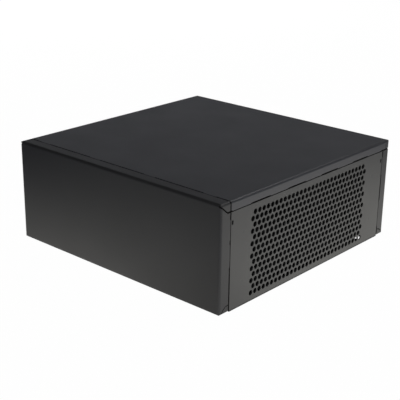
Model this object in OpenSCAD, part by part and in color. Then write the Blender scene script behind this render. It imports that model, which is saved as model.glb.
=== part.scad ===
// Low square equipment case of folded sheet steel.
// A flat base carries two perforated side sheets on upright tabs. A front tray and a rear tray
// close the ends, and the cover drops over the top. All the outside faces are flush: where two
// sheets meet there is an open seam, and short tongues set back by one sheet thickness
// (joggled) reach across it behind the neighbouring sheet.
// The origin is the middle of the underside, +Z is up and -Y is the blank front.

/* [Case] */
// Overall width, across the two side sheets
case_w = 221; // [190:1:300]
// Overall depth, from the front face to the rear face
case_d = 221; // [190:1:320]
// Overall height
case_h = 86; // [66:1:133]
// Thickness of the sheet steel
sheet_t = 1; // [0.8:0.1:1.5]
// Outside radius of the folds
fold_r = 2; // [1.8:0.1:3]
// Width of the open seams between neighbouring sheets
seam_gap = 1.1; // [0.5:0.1:1.5]

/* [Flanges] */
// How far the front tray folds back along the top, sides and underside
front_return = 10.2; // [9.5:0.1:16]
// How far the rear tray folds forward along the sides and underside
rear_return = 9; // [9:0.1:16]
// How far the cover folds down over the sides
cover_drop = 7; // [6:0.1:12]
// How far the cover folds down over the rear, where its screws are
cover_rear_drop = 14; // [13:0.5:20]
// Part of each rear corner where the cover folds down no further than on the sides
rear_shoulder = 14; // [10:1:30]
// Length of the sloping cut where the upper corner tab meets the side flange
mitre_l = 7; // [4:0.5:9]
// Radius of the rounded lower corner tabs
corner_tab_r = 8; // [6:0.5:9]
// How far below the underside the centre of that radius lies
corner_tab_drop = 2; // [0:0.5:4]
// Width of the cut round a lower corner tab
tab_cut = 0.5; // [0.3:0.1:1]
// Distance from the rear of the case to the upright cut near the cover's rear corners
cover_cut_in = 5.5; // [4:0.5:10]

/* [Perforated sides] */
// Diameter of the punched holes
hole_d = 3.98; // [2.5:0.02:4.3]
// Spacing of the holes along a row
hole_pitch = 5.1; // [4.6:0.05:8]
// Spacing of the rows, each shifted by half a hole from the next
row_pitch = 4.95; // [4.4:0.05:8]
// Least distance from an end of the case to the nearest hole's centre
field_end = 36; // [34:1:70]
// Height of the lowest row above the underside
field_foot = 6.7; // [4:0.1:20]
// Least distance from the top row to the upper edge of the side sheet
field_head = 6.6; // [6.6:0.1:20]
// Shift of the whole field, towards the front when negative
field_shift = -0.4; // [-2:0.1:2]
// Width of the small slot beside each upright seam
slot_w = 1.5; // [1:0.1:3]
// Height of that slot
slot_h = 3.4; // [2:0.1:8]
// Distance of that slot from the edge of the side sheet
slot_in = 1.7; // [1.5:0.1:3]
// Distance of that slot below the top of the case
slot_down = 16.4; // [15:0.1:20]

/* [Tongues] */
// How far a tongue reaches behind the neighbouring sheet
tongue_reach = 4.6; // [3:0.1:5]
// Share of the seam that a tongue crosses level with the outside before it steps back
tongue_level = 0.5; // [0.1:0.05:0.9]
// Width of the cover's side tongues
cover_tongue_w = 21.5; // [8:0.5:30]
// Spacing of the cover's side tongues
cover_tongue_pitch = 43.7; // [35:0.1:80]
// Width of the cover's tongues under the front tray
lip_tongue_w = 12; // [6:1:30]
// Height of the upper tongues of the two trays
upper_tongue_h = 16; // [10:1:20]
// Height of the lower tongue of the rear tray
lower_tongue_h = 24; // [8:1:24]
// Height of the middle tongue of the front tray
middle_tongue_h = 18; // [8:1:20]
// Free height between neighbouring tongues on one upright edge
tongue_space = 3; // [2:0.5:6]
// Clearance where an upright edge's tongue passes the cover's tongue
tongue_clear = 0.9; // [0.8:0.1:3]

/* [Base] */
// Width of the upright tabs that carry the side sheets
post_w = 14; // [8:1:15]
// Height of the upright tabs
post_h = 66; // [30:1:110]
// Distance from an end of the case to the middle of a tab
post_in = 25; // [24:0.5:26]
// Width of the relief cut on each side of a tab
post_cut = 1; // [0.5:0.1:2]
// Distance between the two welds on a tab
weld_pitch = 39; // [15:1:60]
// Height of the lower weld
weld_z = 20.5; // [10:0.5:30]
// Width of a weld mark
weld_d = 3; // [2:0.5:5]
// Depth of a weld mark
weld_depth = 0.12; // [0.05:0.01:0.2]
// Play between the edge of the base and the side sheets
base_play = 0.3; // [0.1:0.1:0.8]
// Diameter of the four holes for feet
foot_hole_d = 8; // [4:0.5:8]
// Distance from a foot hole to the side of the case
foot_in_x = 8.7; // [8.5:0.1:30]
// Distance from a foot hole to the front or rear of the case
foot_in_y = 25.5; // [20:0.5:60]

/* [Fasteners] */
// Diameter of the screws
screw_d = 3; // [2.5:0.5:3]
// Length of the screws with their heads
screw_l = 4.5; // [4:0.5:8]
// Distance from the middle screw to the outer ones
screw_pitch = 75; // [40:1:80]
// Play between a screw and what it passes through
screw_play = 0.05; // [0.02:0.01:0.1]
// Length of the chamfer at a screw's tip
screw_tip = 0.4; // [0.2:0.1:0.8]
// Width of the arms of a screw's cross slot
cross_w = 0.6; // [0.4:0.1:0.9]
// Diameter of the press nuts
nut_d = 6.3; // [5.6:0.1:7]
// Height of the press nuts above the sheet
nut_h = 1.5; // [1:0.1:2.5]
// Chamfer round the top of a press nut
nut_edge = 0.3; // [0.1:0.1:0.5]
// Diameter of the press nuts where they sit in the sheet
nut_neck_d = 4.2; // [4:0.1:5]

/* [Board standoffs] */
// Diameter of the standoffs
standoff_d = 4.2; // [4:0.1:7]
// Distance across the flats of their flush hexagon heads
standoff_af = 4.8; // [4.5:0.1:5.5]
// Height of the board above the base
standoff_h = 6.35; // [6.35:0.05:12]
// Diameter of the tapped bore
standoff_bore = 2.5; // [2:0.1:3]
// Spacing of the board's fixing holes across the case
board_pitch_x = 157.48; // [100:0.01:160]
// Spacing of the board's fixing holes along the case
board_pitch_y = 154.94; // [90:0.01:156]
// How much nearer the front one rear fixing hole lies
board_step_y = 22.86; // [0:0.01:40]
// Distance from the rear fixing holes to the inside of the rear wall
board_to_rear = 12.27; // [12:0.01:30]

/* [Connector opening] */
// Width of the opening in the rear wall
io_w = 158.75; // [20:0.05:160]
// Height of the opening
io_h = 44.45; // [15:0.05:44.45]
// How far the opening reaches below the board
io_below_board = 3.81; // [2:0.01:3.85]
// Corner radius of the opening
io_r = 1; // [0.5:0.1:3]
// Thickness of the blank plate that closes the opening
plate_t = 0.8; // [0.5:0.1:0.8]
// How far the plate's rim laps behind the wall
plate_lap = 3; // [1.5:0.5:6]
// Play between the plate and the edge of the opening
plate_play = 0.1; // [0.05:0.05:0.3]

/* [Hidden] */
$fn = 48;

painted = [0.12, 0.12, 0.125];
plated = [0.72, 0.73, 0.75];
cut = 1;                                   // how far a cutter runs past the sheet

half_w = case_w / 2;
half_d = case_d / 2;
front_edge = -half_d + front_return;       // free edge of the front tray
rear_edge = half_d - rear_return;          // free edge of the rear tray
cover_edge = case_h - cover_drop;          // lower edge of the cover on the sides
cover_rear_edge = case_h - cover_rear_drop;
side_top = cover_edge - seam_gap;          // upper edge of the side sheets
side_front = front_edge + seam_gap;
side_rear = rear_edge - seam_gap;
reach = seam_gap + tongue_reach;           // a tongue's length from the edge that carries it

field_cols = floor((case_d - 2 * field_end) / hole_pitch) + 1;
field_rows = floor((side_top - field_head - field_foot) / row_pitch) + 1;
slot_z = case_h - slot_down;
post_z = min(post_h, side_top - tongue_reach - tongue_space);

cover_tongues = floor((case_d - 2 * front_return - cover_tongue_w) / cover_tongue_pitch) + 1;
upper_tongue_z = side_top - tongue_reach - tongue_clear - upper_tongue_h / 2;
lower_tongue_z = corner_tab_r - corner_tab_drop + tongue_space + lower_tongue_h / 2;
middle_tongue_z = upper_tongue_z - (upper_tongue_h + middle_tongue_h) / 2 - tongue_space;
lip_half = half_w - rear_shoulder;         // half the width of the lips between the corners
lip_tongue_x = [for (i = [-1.5 : 1.5]) i * (2 * lip_half - lip_tongue_w) / 3];

head_d = screw_d + 2 * sheet_t;            // the countersink takes up the sheet's thickness
screw_x = [-screw_pitch, 0, screw_pitch];
front_screw_y = (-half_d + fold_r + front_edge) / 2;
rear_screw_y = (half_d - fold_r + rear_edge) / 2;
cover_screw_z = (cover_rear_edge + case_h - fold_r) / 2;

board_z = sheet_t + standoff_h;
io_z = board_z - io_below_board + io_h / 2; // middle of the connector opening
plate_foot = max(fold_r, 2 * sheet_t, io_z - io_h / 2 - plate_lap);
board_rear_y = half_d - sheet_t - board_to_rear;
board_front_y = board_rear_y - board_pitch_y;
standoffs_at = [[-board_pitch_x / 2, board_rear_y], [board_pitch_x / 2, board_rear_y - board_step_y],
                [-board_pitch_x / 2, board_front_y], [board_pitch_x / 2, board_front_y]];
feet_at = [for (x = [-1, 1], y = [-1, 1]) [x * (half_w - foot_in_x), y * (half_d - foot_in_y)]];

// Puts a shape drawn in X and Y so that its X runs along u and its Y along v
module turned(u, v) {
    w = cross(u, v);
    multmatrix([[u.x, v.x, w.x, 0], [u.y, v.y, w.y, 0], [u.z, v.z, w.z, 0], [0, 0, 0, 1]])
        children();
}

// The same shape on the right and on the left
module both_sides() {
    children();
    mirror([1, 0, 0]) children();
}

module rounded_outline(w, h, r) {
    square([w - 2 * r, h], center = true);
    square([w, h - 2 * r], center = true);
    for (x = [-1, 1], y = [-1, 1]) translate([x * (w / 2 - r), y * (h / 2 - r)]) circle(r);
}

// The outside of the case, or its inside when inset by the sheet, with rounded folds
module case_block(inset) {
    w = case_w - 2 * inset;
    d = case_d - 2 * inset;
    h = case_h - 2 * inset;
    r = fold_r - inset;
    translate([0, 0, case_h / 2]) intersection() {
        translate([0, 0, -h / 2]) linear_extrude(h) rounded_outline(w, d, r);
        translate([0, d / 2, 0]) turned([1, 0, 0], [0, 0, 1]) linear_extrude(d)
            rounded_outline(w, h, r);
        translate([-w / 2, 0, 0]) turned([0, 1, 0], [0, 0, 1]) linear_extrude(w)
            rounded_outline(d, h, r);
    }
}

module case_skin() {
    difference() {
        case_block(0);
        case_block(sheet_t);
    }
}

// The part of the case between two depths and two heights
module zone(y0, y1, z0, z1) {
    translate([-half_w - cut, y0, z0]) cube([case_w + 2 * cut, y1 - y0, z1 - z0]);
}

// A tongue across a seam: X leads away from the edge that carries it, Y into the case
module tongue(width, length = reach) {
    translate([0, 0, -width / 2]) linear_extrude(width) polygon([
        [0, 0], [seam_gap * tongue_level, 0], [seam_gap, sheet_t], [length, sheet_t],
        [length, 2 * sheet_t], [seam_gap, 2 * sheet_t], [0, sheet_t]]);
}

// A tongue of a tray behind the right side sheet
module tray_tongue(edge, dir, z, height) {
    translate([half_w, edge, z]) turned([0, dir, 0], [-1, 0, 0]) tongue(height);
}

// An upright slot with round ends
module slot_outline(w, h) {
    square([w, h - w], center = true);
    for (y = [-1, 1]) translate([0, y * (h - w) / 2]) circle(d = w);
}

// The larger slot in a tray's upper tongue, behind the small slot in the side sheet
module tongue_slot(y) {
    translate([half_w - 2 * sheet_t - cut, y, slot_z]) turned([0, 1, 0], [0, 0, 1])
        linear_extrude(sheet_t + cut) slot_outline(slot_w + sheet_t, slot_h + sheet_t);
}

// The cut between an upper corner tab and the side flange of the front tray
module upper_corner_cut() {
    run = [[-cut, case_h], [mitre_l, cover_edge], [front_return + cut, cover_edge]];
    back = [for (i = [len(run) - 1 : -1 : 0]) run[i] - [0, seam_gap]];
    translate([half_w - fold_r, -half_d, 0]) turned([0, 1, 0], [0, 0, 1])
        linear_extrude(fold_r + cut) polygon(concat(run, back));
}

// The curved cut between a lower corner tab and the side flange of a tray
module lower_corner_cut(edge, end) {
    y0 = min(edge, end) - (edge > end ? cut : 0);
    y1 = max(edge, end) + (edge > end ? 0 : cut);
    translate([half_w - sheet_t - cut / 2, 0, 0]) turned([0, 1, 0], [0, 0, 1])
        linear_extrude(sheet_t + cut) intersection() {
            translate([edge, -corner_tab_drop]) difference() {
                circle(corner_tab_r + tab_cut / 2);
                circle(corner_tab_r - tab_cut / 2);
            }
            translate([y0, 0]) square([y1 - y0, 2 * corner_tab_r]);
        }
}

// A countersunk hole from the underside, its mouth at z = 0
module countersink() {
    cylinder(h = sheet_t, d1 = head_d, d2 = screw_d);
    translate([0, 0, -cut]) cylinder(h = sheet_t + 2 * cut, d = screw_d + 2 * screw_play);
    translate([0, 0, -cut]) cylinder(h = cut, d = head_d);
}

module screw() {
    difference() {
        union() {
            cylinder(h = sheet_t, d1 = head_d, d2 = screw_d);
            translate([0, 0, sheet_t]) cylinder(h = screw_l - sheet_t - screw_tip, d = screw_d);
            translate([0, 0, screw_l - screw_tip])
                cylinder(h = screw_tip, d1 = screw_d, d2 = screw_d - 2 * screw_tip);
        }
        for (a = [0, 90]) rotate(a) cube([head_d / 2, cross_w, 1.5 * sheet_t], center = true);
    }
}

// A press nut whose neck starts at z = 0 and fills the sheet
module press_nut() {
    difference() {
        union() {
            cylinder(h = sheet_t, d = nut_neck_d);
            translate([0, 0, sheet_t]) cylinder(h = nut_h - nut_edge, d = nut_d);
            translate([0, 0, sheet_t + nut_h - nut_edge])
                cylinder(h = nut_edge, d1 = nut_d, d2 = nut_d - 2 * nut_edge);
        }
        translate([0, 0, -cut]) cylinder(h = sheet_t + nut_h + 2 * cut, d = screw_d + 2 * screw_play);
    }
}

// The screw places under the front and the rear, and through the back of the cover
module under_row(y) {
    for (x = screw_x) translate([x, y, 0]) children();
}

module back_row() {
    for (x = screw_x) translate([x, half_d, cover_screw_z]) turned([1, 0, 0], [0, 0, 1]) children();
}

// The flat base, with a strip at each end stepped up over the tray's lower flange
module chassis_base() color(painted) {
    edge = half_w - sheet_t - base_play;
    bend = half_w - sheet_t - fold_r;
    difference() {
        union() {
            translate([-edge, side_front, 0]) cube([2 * edge, side_rear - side_front, sheet_t]);
            translate([0, side_front, 0]) turned([0, -1, 0], [0, 0, 1])
                tongue(2 * lip_half, side_front + half_d - fold_r);
            translate([0, side_rear, 0]) turned([0, 1, 0], [0, 0, 1])
                tongue(2 * lip_half, half_d - fold_r - side_rear);
        }
        both_sides() for (end = [-1, 1]) post_relief(end * (half_d - post_in), bend);
        for (p = feet_at) translate([p.x, p.y, -cut]) cylinder(h = sheet_t + 2 * cut, d = foot_hole_d);
        for (p = standoffs_at) translate([p.x, p.y, -cut])
            cylinder(h = sheet_t + 2 * cut, d = standoff_af / cos(30), $fn = 6);
        for (y = [front_screw_y, rear_screw_y])
            under_row(y) cylinder(h = 2 * sheet_t + cut, d = nut_neck_d);
    }
    both_sides() for (end = [-1, 1]) translate([0, end * (half_d - post_in), 0]) post(bend);
}

module post_relief(y, bend) {
    w = post_w + 2 * post_cut;
    translate([bend, y - w / 2, -cut]) cube([2 * fold_r, w, sheet_t + 2 * cut]);
}

// An upright tab folded from the edge of the base, flat against the side sheet
module post(bend) {
    translate([0, post_w / 2, 0]) turned([1, 0, 0], [0, 0, 1]) linear_extrude(post_w)
        translate([bend, fold_r]) intersection() {
            difference() {
                circle(fold_r);
                circle(fold_r - sheet_t);
            }
            translate([0, -fold_r]) square(fold_r);
        }
    chamfer = post_w / 4;
    top = post_z - fold_r;
    translate([half_w - 2 * sheet_t, 0, fold_r]) turned([0, 1, 0], [0, 0, 1])
        linear_extrude(sheet_t) polygon([
            [-post_w / 2, 0], [post_w / 2, 0], [post_w / 2, top - chamfer],
            [post_w / 2 - chamfer, top], [chamfer - post_w / 2, top],
            [-post_w / 2, top - chamfer]]);
}

// The right side sheet with its staggered field of holes
module side_sheet() {
    difference() {
        translate([half_w - sheet_t, 0, 0]) turned([0, 1, 0], [0, 0, 1]) linear_extrude(sheet_t)
            difference() {
                translate([side_front, 0]) square([side_rear - side_front, side_top]);
                hole_field();
                for (y = [side_front + slot_in, side_rear - slot_in])
                    translate([y, slot_z]) slot_outline(slot_w, slot_h);
            }
        for (end = [-1, 1], z = [weld_z, weld_z + weld_pitch])
            if (z < post_z) translate([half_w, end * (half_d - post_in), z]) weld_mark();
    }
}

// Rows of holes; every other row, from the lowest up, has one hole more
module hole_field() {
    for (row = [0 : field_rows - 1]) {
        cols = field_cols - row % 2;
        for (col = [0 : cols - 1])
            translate([field_shift + (col - (cols - 1) / 2) * hole_pitch, field_foot + row * row_pitch])
                circle(d = hole_d);
    }
}

// A shallow round dimple in the outer face
module weld_mark() {
    r = (weld_d * weld_d / 4 + weld_depth * weld_depth) / (2 * weld_depth);
    translate([r - weld_depth, 0, 0]) sphere(r);
}

module side_panel_right() color(painted) side_sheet();

module side_panel_left() color(painted) mirror([1, 0, 0]) side_sheet();

// The blank front, folded back on all four sides
module front_panel() color(painted) {
    difference() {
        union() {
            difference() {
                intersection() {
                    case_skin();
                    zone(-half_d - cut, front_edge, -cut, case_h + cut);
                }
                both_sides() {
                    upper_corner_cut();
                    lower_corner_cut(front_edge, -half_d);
                }
            }
            both_sides() {
                tray_tongue(front_edge, 1, upper_tongue_z, upper_tongue_h);
                tray_tongue(front_edge, 1, middle_tongue_z, middle_tongue_h);
            }
        }
        both_sides() tongue_slot(side_front + slot_in);
        under_row(front_screw_y) countersink();
    }
}

// The rear wall with the opening for the board's connectors, and a lip behind the cover
module rear_panel() color(painted) {
    lip_edge = cover_rear_edge - seam_gap;
    difference() {
        union() {
            difference() {
                intersection() {
                    case_skin();
                    zone(rear_edge, half_d + cut, -cut, side_top);
                }
                translate([-lip_half - seam_gap, half_d - fold_r, lip_edge])
                    cube([2 * (lip_half + seam_gap), fold_r + cut, case_h]);
                both_sides() lower_corner_cut(rear_edge, half_d);
            }
            translate([0, half_d, lip_edge]) turned([0, 0, 1], [0, -1, 0])
                tongue(2 * lip_half, cover_rear_drop + seam_gap - fold_r);
            both_sides() {
                tray_tongue(rear_edge, -1, upper_tongue_z, upper_tongue_h);
                tray_tongue(rear_edge, -1, lower_tongue_z, lower_tongue_h);
            }
        }
        both_sides() tongue_slot(side_rear - slot_in);
        under_row(rear_screw_y) countersink();
        back_row() cylinder(h = 2 * sheet_t + cut, d = nut_neck_d);
        at_opening(half_d + cut, sheet_t + 2 * cut) rounded_outline(io_w, io_h, io_r);
    }
}

// Extrudes an outline forward from the depth y, centred on the connector opening
module at_opening(y, depth) {
    translate([0, y, io_z]) turned([1, 0, 0], [0, 0, 1]) linear_extrude(depth) children();
}

// The blank plate in the connector opening: a pressed pan flush with the wall, its rim behind it
module connector_plate() color(painted) {
    w = io_w - 2 * plate_play;
    h = io_h - 2 * plate_play;
    rim = io_w + 2 * plate_lap;
    difference() {
        union() {
            at_opening(half_d, sheet_t + plate_t) rounded_outline(w, h, io_r);
            translate([-rim / 2, half_d - sheet_t - plate_t, plate_foot])
                cube([rim, plate_t, io_z + io_h / 2 + plate_lap - plate_foot]);
        }
        at_opening(half_d - plate_t, sheet_t + cut)
            square([w - 2 * plate_t, h - 2 * plate_t], center = true);
    }
}

// The lid: folded down at both sides and at the rear, hooked under the front tray
module top_cover() color(painted) {
    difference() {
        union() {
            intersection() {
                case_skin();
                zone(side_front, half_d + cut, cover_edge, case_h + cut);
            }
            translate([-lip_half, half_d - sheet_t, cover_rear_edge])
                cube([2 * lip_half, sheet_t, cover_rear_drop - fold_r]);
            for (x = lip_tongue_x) translate([x, side_front, case_h])
                turned([0, -1, 0], [0, 0, -1]) tongue(lip_tongue_w);
            both_sides() for (i = [0 : cover_tongues - 1])
                translate([half_w, (i - (cover_tongues - 1) / 2) * cover_tongue_pitch, cover_edge])
                    turned([0, 0, -1], [-1, 0, 0]) tongue(cover_tongue_w);
        }
        both_sides() rear_corner_cut();
        back_row() countersink();
    }
}

// The upright cut where the cover's side fold ends short of its rear corner
module rear_corner_cut() {
    translate([half_w - fold_r, half_d - cover_cut_in, cover_edge - cut])
        cube([fold_r + cut, tab_cut, cover_drop - fold_r + cut]);
}

module front_panel_screws() color(plated) under_row(front_screw_y) screw();

module front_panel_nuts() color(plated) translate([0, 0, sheet_t]) under_row(front_screw_y) press_nut();

module rear_panel_screws() color(plated) under_row(rear_screw_y) screw();

module rear_panel_nuts() color(plated) translate([0, 0, sheet_t]) under_row(rear_screw_y) press_nut();

module cover_screws() color(plated) back_row() screw();

module cover_nuts() color(plated) translate([0, -sheet_t, 0]) back_row() press_nut();

// Press-in standoffs, their hexagon heads flush with the underside of the base
module board_standoffs() color(plated) {
    for (p = standoffs_at) translate([p.x, p.y, 0]) difference() {
        union() {
            cylinder(h = sheet_t, d = standoff_af / cos(30), $fn = 6);
            cylinder(h = board_z, d = standoff_d);
        }
        translate([0, 0, -cut]) cylinder(h = board_z + 2 * cut, d = standoff_bore);
    }
}

chassis_base();
side_panel_right();
side_panel_left();
front_panel();
rear_panel();
top_cover();
front_panel_screws();
front_panel_nuts();
rear_panel_screws();
rear_panel_nuts();
cover_screws();
cover_nuts();
board_standoffs();
connector_plate();
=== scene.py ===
# %% [markdown]
# # A small powder-coated rack case
#
# The object is a square box of folded sheet steel, two rack units high, with a blank front, two
# perforated sides and a screwed-on cover. Its sheets, fasteners and standoffs come from the packed
# model as fixed nodes, with every hole, fold and lip already in them, so no new mesh is needed.
# This lesson gives them their finishes and sets up the camera, the floor and the light.

from math import cos, radians, sin

import bpy
from mathutils import Matrix, Vector

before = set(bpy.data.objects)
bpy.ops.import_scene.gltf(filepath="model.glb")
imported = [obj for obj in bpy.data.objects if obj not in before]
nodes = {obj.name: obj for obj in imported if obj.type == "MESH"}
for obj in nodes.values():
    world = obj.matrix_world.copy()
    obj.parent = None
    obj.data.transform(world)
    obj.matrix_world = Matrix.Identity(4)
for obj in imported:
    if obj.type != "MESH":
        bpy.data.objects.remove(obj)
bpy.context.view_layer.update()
print("nodes:", sorted(nodes))

# %% [markdown]
# ## The camera
#
# The photograph looks down at the near upright corner, a little more onto the front than onto the
# side. The viewing angle was found from the seven visible corners of the case. A long lens far away
# keeps the upright edges nearly parallel, as they are in the picture. The distances are shares of
# the case's width, because a picture alone gives only proportions.

# %% Place the camera
MM = 0.001
WIDTH = 221 * MM
AZIMUTH = radians(41.5467)
ELEVATION = radians(20.3546)
ROLL = radians(0.7739)
DISTANCE = 3.74495 * WIDTH
AIM_RIGHT = -0.023639 * WIDTH
AIM_UP = 0.135807 * WIDTH
SENSOR = 36
FOCAL_PIXELS = 944.6915
PICTURE_PIXELS = 400
CLIP_NEAR = 0.05
CLIP_FAR = 50

back = Vector((sin(AZIMUTH) * cos(ELEVATION), -cos(AZIMUTH) * cos(ELEVATION), sin(ELEVATION)))
level = Vector((cos(AZIMUTH), sin(AZIMUTH), 0))
upright = back.cross(level)
camera_x = level * cos(ROLL) + upright * sin(ROLL)
camera_y = upright * cos(ROLL) - level * sin(ROLL)

camera_data = bpy.data.cameras.new("camera")
camera_data.sensor_width = SENSOR
camera_data.lens = SENSOR * FOCAL_PIXELS / PICTURE_PIXELS
camera_data.clip_start = CLIP_NEAR
camera_data.clip_end = CLIP_FAR
camera = bpy.data.objects.new("camera", camera_data)
bpy.context.scene.collection.objects.link(camera)
camera.matrix_world = Matrix.Translation(
    back * DISTANCE + level * AIM_RIGHT + upright * AIM_UP
) @ Matrix((camera_x, camera_y, back)).transposed().to_4x4()
bpy.context.scene.camera = camera
bpy.context.scene.view_settings.view_transform = "Standard"
print("camera at", [round(v, 3) for v in camera.matrix_world.translation], "m")
print("lens", round(camera_data.lens, 1), "mm")

# %% [markdown]
# ## Small helpers for node trees
#
# Every finish here is a tree of shader nodes. A short helper that adds a node, sets its sockets and
# links what comes from another node keeps the cells readable. A value that is a socket is linked,
# and any other value is set on the socket itself.


# %% Add a node
def plug_in(tree, value, socket):
    """Links an output to the socket, or sets the socket to a constant."""
    if isinstance(value, bpy.types.NodeSocket):
        tree.links.new(value, socket)
    else:
        socket.default_value = value


def add_node(tree, kind, settings=None, **sockets):
    """Adds one node. settings are its own properties, sockets its inputs by name or by _number."""
    made = tree.nodes.new(kind)
    for name, value in (settings or {}).items():
        setattr(made, name, value)
    for name, value in sockets.items():
        key = int(name[1:]) if name[0] == "_" else name.replace("_", " ")
        plug_in(tree, value, made.inputs[key])
    return made


def new_material(name):
    """An empty node material with its output node, as (material, tree, output)."""
    made = bpy.data.materials.new(name)
    made.use_nodes = True
    made.node_tree.nodes.clear()
    return made, made.node_tree, made.node_tree.nodes.new("ShaderNodeOutputMaterial")


# %% [markdown]
# The nodes that come back again and again get a helper each. Numbers go through Math, Vector Math
# and Colour Ramp, and two colours or two shaders are blended by a share from 0 to 1.


# %% Common nodes
def math_node(tree, operation, a, b=0.0, c=0.0):
    """One Math node, as its output."""
    return add_node(tree, "ShaderNodeMath", {"operation": operation}, _0=a, _1=b, _2=c).outputs[0]


def measure(tree, operation, a, b):
    """A Vector Math node whose result is one number, such as a distance."""
    made = add_node(tree, "ShaderNodeVectorMath", {"operation": operation}, _0=a, _1=b)
    return made.outputs["Value"]


def ramp(tree, value, stops):
    """A colour ramp through stops, given as (position, grey level) or (position, colour)."""
    made = tree.nodes.new("ShaderNodeValToRGB")
    plug_in(tree, value, made.inputs["Fac"])
    for element, (position, level) in zip(made.color_ramp.elements, stops, strict=True):
        element.position = position
        element.color = (*level, 1) if isinstance(level, tuple) else (level, level, level, 1)
    return made.outputs["Color"]


def mix_colours(tree, share, first, second):
    """A blend of two colours, all second where share is 1."""
    made = add_node(
        tree, "ShaderNodeMix", {"data_type": "RGBA"}, _0=share, _6=first, _7=second
    )
    return made.outputs[2]


def mix_shaders(tree, share, first, second):
    """A blend of two shaders, all second where share is 1."""
    made = add_node(
        tree, "ShaderNodeMixShader", _0=share, _1=first.outputs[0], _2=second.outputs[0]
    )
    return made.outputs[0]


# %% [markdown]
# ## Floor and background
#
# The case stands on a plain white floor that runs on into a white background. A mesh plane is
# enough, and it needs to be only so wide that its far edge lies beyond the picture.

# %% Lay the floor
FLOOR_SIZE = 12.0

bpy.ops.object.select_all(action="DESELECT")
bpy.ops.mesh.primitive_plane_add(size=FLOOR_SIZE)
floor = bpy.context.object
floor.name = "floor"
print("floor of", FLOOR_SIZE, "m")

# %% [markdown]
# The camera sees the floor plain white, with only a trace of the case's soft shadow. The sheets
# mirror something else. In a studio the floor is brightest round the object and dim farther off,
# and that is why the front and the side of the case go from a light foot to a dark top. Reflections
# therefore see a pale pool of light that fades into a dim, slightly blue floor, with a soft shade
# before the near corner, where the case's own shadow falls. A spot lamp could draw the same pool,
# but then the background would no longer be an even white.

# %% Floor finish
WHITE = (1, 1, 1, 1)
FLOOR_COLOUR = (0.7, 0.7, 0.7, 1)
SHADOW_SHARE = 0.01
POOL_CENTRE = (-0.012, 0.11, 0)
POOL = [(0.208, (1.0, 0.985, 0.94)), (0.43, (0.045, 0.053, 0.078))]
SHADE_CENTRE = (0.115, -0.135, 0)
SHADE = [(0.03, 0.72), (0.11, 1.0)]

floor_finish, tree, out = new_material("floor_white")
spot = tree.nodes.new("ShaderNodeTexCoord").outputs["Object"]
pool = ramp(tree, measure(tree, "DISTANCE", spot, POOL_CENTRE), POOL)
shade = ramp(tree, measure(tree, "DISTANCE", spot, SHADE_CENTRE), SHADE)
shaded = add_node(tree, "ShaderNodeVectorMath", {"operation": "MULTIPLY"}, _0=pool, _1=shade)

path = tree.nodes.new("ShaderNodeLightPath")
by_camera = path.outputs["Is Camera Ray"]
seen = math_node(tree, "MAXIMUM", by_camera, path.outputs["Is Glossy Ray"])
seen = math_node(tree, "MAXIMUM", seen, path.outputs["Is Transmission Ray"])
tone = mix_colours(tree, by_camera, shaded.outputs[0], WHITE)
white = add_node(tree, "ShaderNodeEmission", Color=tone, Strength=1.0)
matt = add_node(tree, "ShaderNodeBsdfDiffuse", Color=FLOOR_COLOUR)
surface = mix_shaders(tree, math_node(tree, "MULTIPLY", seen, 1 - SHADOW_SHARE), matt, white)
tree.links.new(surface, out.inputs["Surface"])
floor.data.materials.append(floor_finish)
print("the pool fades from", POOL[0][0], "m to", POOL[-1][0], "m from its centre")

# %% [markdown]
# ## Light
#
# The photograph has soft studio light: the side is the brightest face, the front the darkest, and
# nothing throws a hard shadow. A low wide strip lamp stands on the right and lights the side, and a
# soft fill behind on the left keeps the back and the left side readable. Both stay out of
# reflections, because they would leave a glare on the cover when it is seen from the other sides. A
# small lamp above the case draws the thin line of light along the fold of the cover.

# %% Place the lamps
# name, place, (width, height), power in watts, whether surfaces mirror it
LAMPS = (
    ("lamp_right", (1.3, -0.4, 0.22), (1.0, 0.36), 18, False),
    ("lamp_above", (0.12, 0.43, 0.69), (0.12, 0.12), 0.68, True),
    ("lamp_fill", (-1.1, 0.9, 0.3), (0.8, 0.5), 16, False),
)


def soft_lamp(name, place, size, power, mirrored):
    """A rectangular area lamp that faces the middle of the case."""
    data = bpy.data.lights.new(name, "AREA")
    data.shape = "RECTANGLE"
    data.size, data.size_y = size
    data.energy = power
    lamp = bpy.data.objects.new(name, data)
    bpy.context.scene.collection.objects.link(lamp)
    lamp.location = place
    lamp.rotation_euler = (-Vector(place)).to_track_quat("-Z", "Y").to_euler()
    lamp.visible_camera = False
    lamp.visible_glossy = mirrored
    return lamp


lamps = [soft_lamp(*values) for values in LAMPS]
print("lamps:", [lamp.name for lamp in lamps])

# %% [markdown]
# ## The room
#
# A studio is dim outside its lamps. In the photograph the far end of the cover mirrors one paler
# band, low down behind the case. A picture of a room could give that, but two smooth steps do it
# too: one fades the band upwards, the other to its sides. The camera sees the world as white.

# %% Light of the room
ROOM_TINT = (0.965, 0.985, 1.05, 1)
ROOM_LEVEL = 0.05
BAND_LEVEL = 0.465
BAND_HEIGHT = (0.2, 0.32)
BAND_WAY = (-0.85, 0.53, 0)
BAND_WIDTH = (0.6, 0.96)


def ease(tree, value, limits, first, last):
    """Goes smoothly from first to last, while value goes through limits."""
    made = add_node(
        tree, "ShaderNodeMapRange", {"interpolation_type": "SMOOTHSTEP"},
        Value=value, From_Min=limits[0], From_Max=limits[1], To_Min=first, To_Max=last,
    )
    return made.outputs[0]


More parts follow.
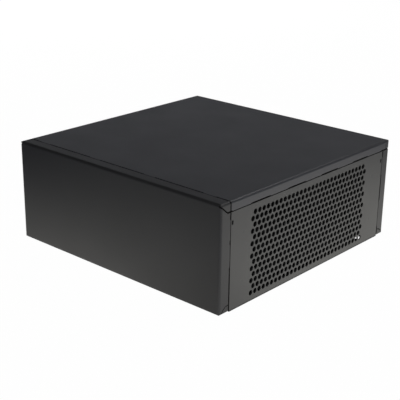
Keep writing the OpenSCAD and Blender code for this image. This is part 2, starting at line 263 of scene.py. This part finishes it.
world = bpy.data.worlds.new("studio")
world.use_nodes = True
tree = world.node_tree
tree.nodes.clear()
direction = tree.nodes.new("ShaderNodeTexCoord").outputs["Generated"]
height = add_node(tree, "ShaderNodeSeparateXYZ", _0=direction).outputs["Z"]
low = ease(tree, height, BAND_HEIGHT, 1.0, 0.0)
behind = ease(tree, measure(tree, "DOT_PRODUCT", direction, BAND_WAY), BAND_WIDTH, 0.0, 1.0)
band = math_node(tree, "MULTIPLY", low, behind)
strength = math_node(tree, "MULTIPLY_ADD", band, BAND_LEVEL, ROOM_LEVEL)
room = add_node(tree, "ShaderNodeBackground", Color=ROOM_TINT, Strength=strength)
plain = add_node(tree, "ShaderNodeBackground", Color=WHITE, Strength=1.0)
path = tree.nodes.new("ShaderNodeLightPath")
surface = mix_shaders(tree, path.outputs["Is Camera Ray"], room, plain)
tree.links.new(surface, tree.nodes.new("ShaderNodeOutputWorld").inputs["Surface"])
bpy.context.scene.world = world
print("the room is at", ROOM_LEVEL, "and its band at", round(ROOM_LEVEL + BAND_LEVEL, 3))

# %% [markdown]
# ## Fine matt powder coat
#
# The sheets are sprayed with dry powder that is baked to a tough skin. Up close such a skin isn't
# flat: it has a fine grain, a slow waviness, and cloudy patches where hands have touched it. A scan
# of a real coat would show all that, but noise textures do it without pictures. They stand on
# Object coordinates in metres, so that the grain has its true size on every sheet.

# %% Grain, waviness and clouds
# size of a feature in metres, level of detail
GRAIN = (0.35 * MM, 3)
PEEL = (1.6 * MM, 1)
CLOUD = (45 * MM, 3)
# strength, depth in metres
GRAIN_RELIEF = (0.25, 0.012 * MM)
PEEL_RELIEF = (0.15, 0.02 * MM)


def noise(tree, place, size, detail):
    """Noise whose features are about size metres across, as its value from 0 to 1."""
    made = add_node(
        tree, "ShaderNodeTexNoise", Vector=place, Scale=1 / size, Detail=detail, Roughness=0.5
    )
    return made.outputs["Fac"]


def relief(tree, height, strength, depth, **normal):
    """Turns the surface as if height were carved into it, on top of another Normal if given."""
    made = add_node(
        tree, "ShaderNodeBump", Strength=strength, Distance=depth, Height=height, **normal
    )
    return made.outputs[0]


def shade_of(colour, share):
    """The same colour, lighter or darker."""
    return tuple(share * c for c in colour[:3]) + (1,)


print("grain", GRAIN[0], "m, waviness", PEEL[0], "m, clouds", CLOUD[0], "m")

# %% [markdown]
# The seams, the vent holes and the sharp punched edges get painted shade: a dull black that makes
# the seams darker and the holes look wider. Along the edges it lies only here and there. Painted
# masks would have to follow 826 holes. The Bevel node finds the edges by how far it turns the
# normal, and the Ambient Occlusion node finds the recesses, whatever the shape of the sheet.

# %% Where shade is painted
EDGE_REACH = 0.38 * MM
EDGE = [(0.008, 0.0), (0.05, 1.0)]
PATCH = (4 * MM, 3)
EDGE_PATCHES = [(0.35, 0.75), (0.7, 1.0)]
RECESS_REACH = 2 * MM
RECESS = [(0.5, 0.95), (0.85, 0.0)]
RAYS = 6


def painted_shade_places(tree, place, rounded, edge_shade):
    """1 where shade is painted, in recesses and here and there along edges, and 0 elsewhere."""
    shape = tree.nodes.new("ShaderNodeNewGeometry").outputs["Normal"]
    kept = measure(tree, "DOT_PRODUCT", rounded, shape)
    edge = ramp(tree, math_node(tree, "SUBTRACT", 1.0, kept), EDGE)
    patches = ramp(tree, noise(tree, place, *PATCH), EDGE_PATCHES)
    edge = math_node(tree, "MULTIPLY", edge, patches)
    edge = math_node(tree, "MULTIPLY", edge, edge_shade)
    open_air = add_node(
        tree, "ShaderNodeAmbientOcclusion", {"samples": RAYS}, Distance=RECESS_REACH
    )
    recess = ramp(tree, open_air.outputs["AO"], RECESS)
    return math_node(tree, "MAXIMUM", recess, edge)


print("edges", EDGE_REACH, "m wide, recesses up to", RECESS_REACH, "m")

# %% [markdown]
# The coat itself is a Principled shader. The clouds change its tone and its sheen, the grain adds
# to the roughness, and both reliefs tilt the light. Where shade is painted, a dull dark skin that
# mirrors nothing takes its place.

# %% Powder coat
TONE_SPREAD = (0.85, 1.25)
CLOUD_SHEEN = 0.16
GRAIN_SHEEN = 0.1
COAT_IOR = 1.5
# the colour of the painted shade in recesses and along edges
SHADE_BLACK = (0.006, 0.006, 0.006, 1)


def powder_coat(name, colour, roughness, shine, tint, edge_shade):
    """A black powder coat with grain, waviness and clouds, and painted shade on edges and in
    recesses.
    """
    made, tree, out = new_material(name)
    place = tree.nodes.new("ShaderNodeTexCoord").outputs["Object"]
    grain = noise(tree, place, *GRAIN)
    peel = noise(tree, place, *PEEL)
    cloud = noise(tree, place, *CLOUD)

    darker, lighter = (shade_of(colour, share) for share in TONE_SPREAD)
    tone = mix_colours(tree, cloud, darker, lighter)
    dull = math_node(tree, "MULTIPLY_ADD", cloud, CLOUD_SHEEN, roughness - CLOUD_SHEEN / 2)
    fine = math_node(tree, "MULTIPLY_ADD", grain, GRAIN_SHEEN, dull)

    rounded = add_node(tree, "ShaderNodeBevel", {"samples": RAYS}, Radius=EDGE_REACH).outputs[0]
    wavy = relief(tree, peel, *PEEL_RELIEF, Normal=rounded)
    grainy = relief(tree, grain, *GRAIN_RELIEF, Normal=wavy)
    coat = add_node(
        tree, "ShaderNodeBsdfPrincipled", Base_Color=tone, Roughness=fine, Normal=grainy
    )
    coat.inputs["Metallic"].default_value = 0
    coat.inputs["IOR"].default_value = COAT_IOR
    coat.inputs["Specular IOR Level"].default_value = shine
    coat.inputs["Specular Tint"].default_value = tint

    # painted shade: a dull black skin for the recesses and the edges
    shade_skin = add_node(tree, "ShaderNodeBsdfDiffuse", Color=SHADE_BLACK)
    surface = mix_shaders(tree, painted_shade_places(tree, place, rounded, edge_shade), coat, shade_skin)
    tree.links.new(surface, out.inputs["Surface"])
    return made


# %% [markdown]
# The base, the side sheets, the two end panels and the cover are coated as separate parts. Their
# coats are lit and shaded copies of one coat: the sides are painted lighter and shinier, the base
# and the ends darker and duller, and the cover a little blue for the cool light that it reflects.

# %% Mix the coats
# colour, roughness, shine, tint of the shine, how much shade is painted along edges
# colour and shine are painted light: sides lighter and shinier, base and ends darker, cover bluer
COATS = {
    "coat_base": ((0.024, 0.024, 0.025, 1), 0.42, 0.7, (0.99, 0.99, 1, 1), 0.8),
    "coat_sides": ((0.028, 0.028, 0.028, 1), 0.42, 1.0, (1, 1, 0.985, 1), 0.95),
    "coat_ends": ((0.023, 0.023, 0.0235, 1), 0.42, 0.7, (0.99, 0.99, 1, 1), 0.9),
    "coat_cover": ((0.0275, 0.0277, 0.0305, 1), 0.4, 1.0, (0.96, 0.97, 1, 1), 0.9),
}
coats = {name: powder_coat(name, *values) for name, values in COATS.items()}
print("coats:", sorted(coats))

# %% [markdown]
# ## Plated and blackened steel
#
# The press nuts and the standoffs are zinc plated: bright, slightly blue, with the fine turned
# lines of a lathe dulled by the plating. The countersunk screws are blackened, which leaves a
# darker metal with a soft gloss. Such small parts need no scratches one by one. A fine noise in the
# relief and a coarser one in the tone are enough at their size.

# %% Fastener finishes
STEEL_CLOUD = (1.2 * MM, 3)
SCRATCH = (0.12 * MM, 2)
SCRATCH_RELIEF = (0.3, 0.01 * MM)
STEEL_SHADE = 0.75
STEEL_SHEEN = 0.25
STEEL_SHEEN_DROP = 0.12


def fastener_steel(name, colour, roughness):
    """Metal with cloudy tone and fine scratches."""
    made, tree, out = new_material(name)
    place = tree.nodes.new("ShaderNodeTexCoord").outputs["Object"]
    cloud = noise(tree, place, *STEEL_CLOUD)
    scratch = noise(tree, place, *SCRATCH)
    tone = mix_colours(tree, cloud, shade_of(colour, STEEL_SHADE), colour)
    dull = math_node(tree, "MULTIPLY_ADD", cloud, STEEL_SHEEN, roughness - STEEL_SHEEN_DROP)
    turned = relief(tree, scratch, *SCRATCH_RELIEF)
    metal = add_node(
        tree, "ShaderNodeBsdfPrincipled", Base_Color=tone, Roughness=dull, Normal=turned
    )
    metal.inputs["Metallic"].default_value = 1
    tree.links.new(metal.outputs[0], out.inputs["Surface"])
    return made


zinc = fastener_steel("zinc_steel", (0.6, 0.62, 0.64, 1), 0.34)
blackened = fastener_steel("blackened_steel", (0.045, 0.045, 0.048, 1), 0.4)
print("metals:", zinc.name, blackened.name)

# %% [markdown]
# ## One finish for each node
#
# A node keeps its mesh and its place, and gets its look from its material slots. The connector
# plate behind is coated like the end panels.

# %% Give each node its finish
FINISHES = {
    "chassis_base": coats["coat_base"],
    "side_panel_right": coats["coat_sides"],
    "side_panel_left": coats["coat_sides"],
    "front_panel": coats["coat_ends"],
    "rear_panel": coats["coat_ends"],
    "top_cover": coats["coat_cover"],
    "front_panel_screws": blackened,
    "rear_panel_screws": blackened,
    "cover_screws": blackened,
    "front_panel_nuts": zinc,
    "rear_panel_nuts": zinc,
    "cover_nuts": zinc,
    "board_standoffs": zinc,
    "connector_plate": coats["coat_ends"],
}
for name, finish in FINISHES.items():
    for slot in nodes[name].material_slots:
        slot.material = finish
    print(name, "->", finish.name)
